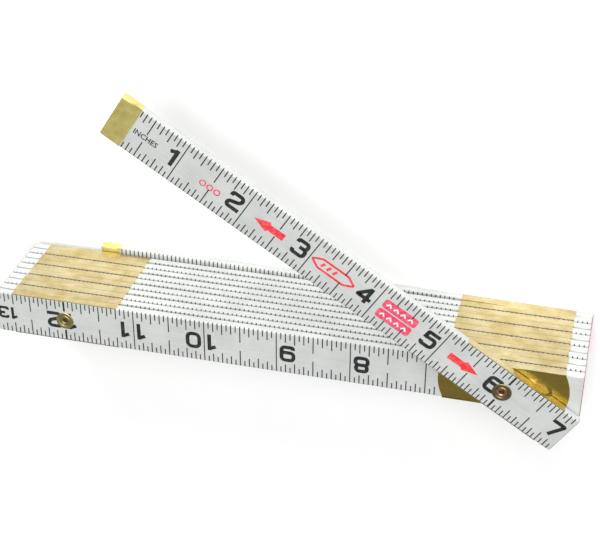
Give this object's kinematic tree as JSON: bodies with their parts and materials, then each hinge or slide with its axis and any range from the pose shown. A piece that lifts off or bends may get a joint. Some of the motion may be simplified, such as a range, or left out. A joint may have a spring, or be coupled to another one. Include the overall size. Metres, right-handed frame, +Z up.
{
  "type": "folding rule",
  "caption": "Zigzag folding rule of painted wood: graduated sticks on riveted brass spring joints, one stick swung open from the folded pack.",
  "frame": {"origin": "on the underside of the lowest stick, midway between the two rows of pivots and level with them", "axes": "+X along the folded pack towards the pivot of the stick that is swung open, +Y across the sticks towards that stick's free end, +Z up along the pivots, out of the printed faces"},
  "size_m": [0.2034, 0.1102, 0.043],
  "materials": {
    "enamel": "gloss white paint over hardwood, printed in black and red",
    "plate_brass": "polished, pressed sheet",
    "cap_brass": "satin, folded sheet",
    "rivet_bronze": "tarnished, turned and rolled",
    "washer_metal": "tarnished, satin"
  },
  "bodies": {
    "section_12": {"stick_12": "enamel", "joint_plate_11_lower": "plate_brass", "rivet_11": "rivet_bronze", "end_cap_72_inch": "cap_brass"},
    "section_11": {"stick_11": "enamel", "joint_plate_11_upper": "plate_brass", "spring_washer_11": "washer_metal", "joint_plate_10_lower": "plate_brass", "rivet_10": "rivet_bronze"},
    "section_10": {"stick_10": "enamel", "joint_plate_10_upper": "plate_brass", "spring_washer_10": "washer_metal", "joint_plate_09_lower": "plate_brass", "rivet_09": "rivet_bronze"},
    "section_09": {"stick_09": "enamel", "joint_plate_09_upper": "plate_brass", "spring_washer_09": "washer_metal", "joint_plate_08_lower": "plate_brass", "rivet_08": "rivet_bronze"},
    "section_08": {"stick_08": "enamel", "joint_plate_08_upper": "plate_brass", "spring_washer_08": "washer_metal", "joint_plate_07_lower": "plate_brass", "rivet_07": "rivet_bronze"},
    "section_07": {"stick_07": "enamel", "joint_plate_07_upper": "plate_brass", "spring_washer_07": "washer_metal", "joint_plate_06_lower": "plate_brass", "rivet_06": "rivet_bronze"},
    "section_06": {"stick_06": "enamel", "joint_plate_06_upper": "plate_brass", "spring_washer_06": "washer_metal", "joint_plate_05_lower": "plate_brass", "rivet_05": "rivet_bronze"},
    "section_05": {"stick_05": "enamel", "joint_plate_05_upper": "plate_brass", "spring_washer_05": "washer_metal", "joint_plate_04_lower": "plate_brass", "rivet_04": "rivet_bronze"},
    "section_04": {"stick_04": "enamel", "joint_plate_04_upper": "plate_brass", "spring_washer_04": "washer_metal", "joint_plate_03_lower": "plate_brass", "rivet_03": "rivet_bronze"},
    "section_03": {"stick_03": "enamel", "joint_plate_03_upper": "plate_brass", "spring_washer_03": "washer_metal", "joint_plate_02_lower": "plate_brass", "rivet_02": "rivet_bronze"},
    "section_02": {"stick_02": "enamel", "joint_plate_02_upper": "plate_brass", "spring_washer_02": "washer_metal", "joint_plate_01_lower": "plate_brass", "rivet_01": "rivet_bronze"},
    "section_01": {"stick_01": "enamel", "joint_plate_01_upper": "plate_brass", "spring_washer_01": "washer_metal", "end_cap_zero": "cap_brass"}
  },
  "joints": [
    {"name": "spring_joint_11", "type": "hinge", "parent": "section_12", "child": "section_11", "pos_m": [0.0762, 0, 0.0033], "axis": [0, 0, -1], "range_deg": [0, 180.75]},
    {"name": "spring_joint_10", "type": "hinge", "parent": "section_11", "child": "section_10", "pos_m": [-0.0762, 0, 0.0069], "axis": [0, 0, -1], "range_deg": [0, 180]},
    {"name": "spring_joint_09", "type": "hinge", "parent": "section_10", "child": "section_09", "pos_m": [0.0762, 0, 0.0105], "axis": [0, 0, -1], "range_deg": [0, 180]},
    {"name": "spring_joint_08", "type": "hinge", "parent": "section_09", "child": "section_08", "pos_m": [-0.0762, 0, 0.0141], "axis": [0, 0, -1], "range_deg": [0, 180]},
    {"name": "spring_joint_07", "type": "hinge", "parent": "section_08", "child": "section_07", "pos_m": [0.0762, 0, 0.0177], "axis": [0, 0, -1], "range_deg": [0, 180]},
    {"name": "spring_joint_06", "type": "hinge", "parent": "section_07", "child": "section_06", "pos_m": [-0.0762, 0, 0.0213], "axis": [0, 0, -1], "range_deg": [0, 180]},
    {"name": "spring_joint_05", "type": "hinge", "parent": "section_06", "child": "section_05", "pos_m": [0.0762, 0, 0.0249], "axis": [0, 0, -1], "range_deg": [0, 180]},
    {"name": "spring_joint_04", "type": "hinge", "parent": "section_05", "child": "section_04", "pos_m": [-0.0762, 0, 0.0285], "axis": [0, 0, -1], "range_deg": [0, 180]},
    {"name": "spring_joint_03", "type": "hinge", "parent": "section_04", "child": "section_03", "pos_m": [0.0762, 0, 0.0321], "axis": [0, 0, -1], "range_deg": [0, 180]},
    {"name": "spring_joint_02", "type": "hinge", "parent": "section_03", "child": "section_02", "pos_m": [-0.0762, 0, 0.0357], "axis": [0, 0, -1], "range_deg": [0, 180]},
    {"name": "spring_joint_01", "type": "hinge", "parent": "section_02", "child": "section_01", "pos_m": [0.0762, 0, 0.0393], "axis": [0, 0, -1], "range_deg": [-33, 147]}
  ]
}
